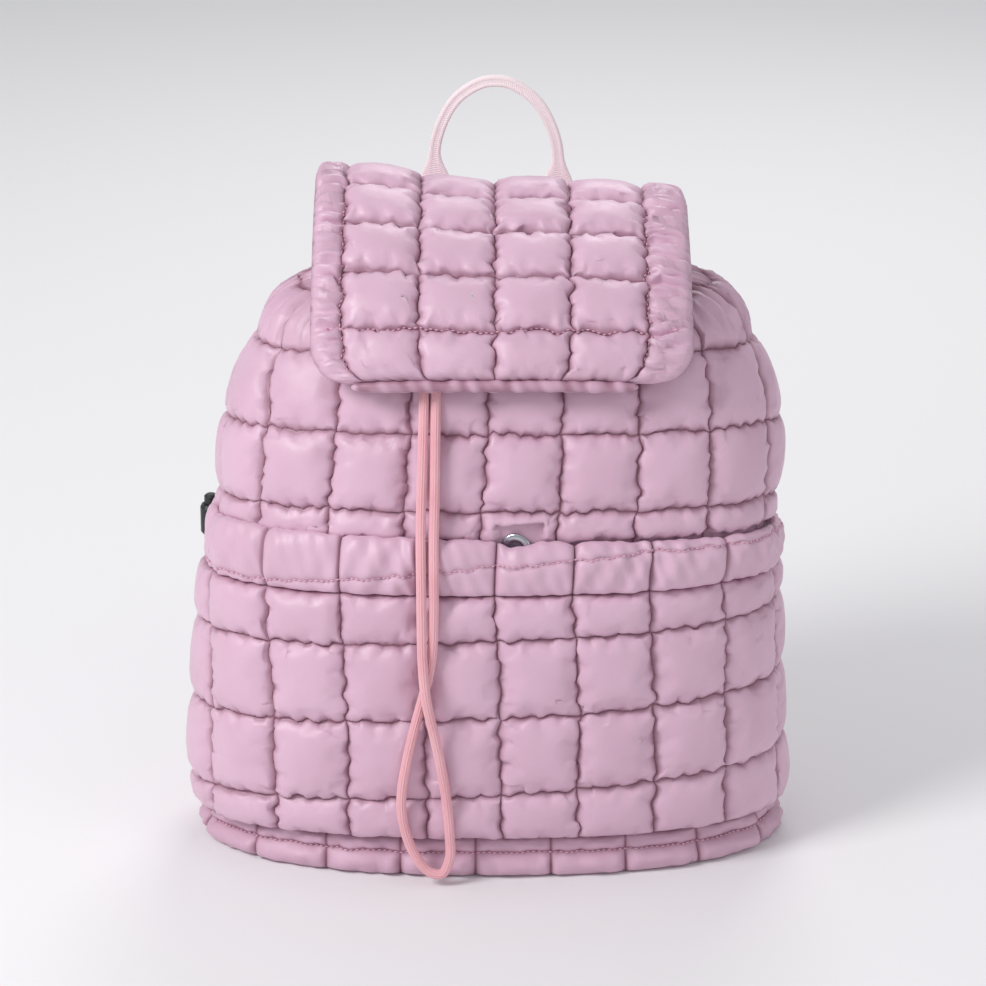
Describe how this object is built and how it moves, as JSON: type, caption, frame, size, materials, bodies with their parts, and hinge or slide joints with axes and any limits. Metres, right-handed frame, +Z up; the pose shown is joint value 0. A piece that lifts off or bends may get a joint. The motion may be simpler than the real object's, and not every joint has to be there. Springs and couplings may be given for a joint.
{
  "type": "backpack",
  "caption": "Soft quilted backpack with a flap over its gathered mouth, an elasticated front pocket, a hanging drawcord, a webbing haul loop and padded shoulder straps.",
  "frame": {"origin": "the middle of the base's flat underside, on the surface the bag stands on", "axes": "+Z up; the front with its pocket and drawcord faces -Y; +X is to the right as one faces the front"},
  "size_m": [0.3557, 0.2276, 0.4347],
  "materials": {
    "satin": "mauve pink quilted nylon satin, soft sheen",
    "satin_shade": "the same nylon, plainer, on base, binding and straps",
    "cord": "coral pink braided cord",
    "webbing": "pale pink twill webbing",
    "black_plastic": "moulded black plastic, satin",
    "silver": "plated steel, polished"
  },
  "bodies": {
    "root": {"bag_shell": "satin", "front_pocket": "satin", "pocket_band": "satin", "flap": "satin", "base_panel": "satin_shade", "flap_binding": "satin_shade", "shoulder_strap_left": "satin_shade", "shoulder_strap_right": "satin_shade", "drawcord": "cord", "side_cord_left": "cord", "side_cord_right": "cord", "haul_loop": "webbing", "strap_webbing_left": "webbing", "strap_webbing_right": "webbing", "cord_lock_barrel_left": "black_plastic", "cord_lock_barrel_right": "black_plastic", "strap_slider_left": "black_plastic", "strap_slider_right": "black_plastic", "pocket_snap": "silver", "cord_eyelet_left": "silver", "cord_eyelet_right": "silver"},
    "button_left": {"cord_lock_button_left": "black_plastic"},
    "button_right": {"cord_lock_button_right": "black_plastic"}
  },
  "joints": [
    {"name": "button_left_slide", "type": "slide", "parent": "root", "child": "button_left", "axis": [0, 0, -1], "range_m": [0, 0.003], "stiffness_N_per_m": 200, "springref_m": -0.004},
    {"name": "button_right_slide", "type": "slide", "parent": "root", "child": "button_right", "axis": [0, 0, -1], "range_m": [0, 0.003], "stiffness_N_per_m": 200, "springref_m": -0.004}
  ]
}
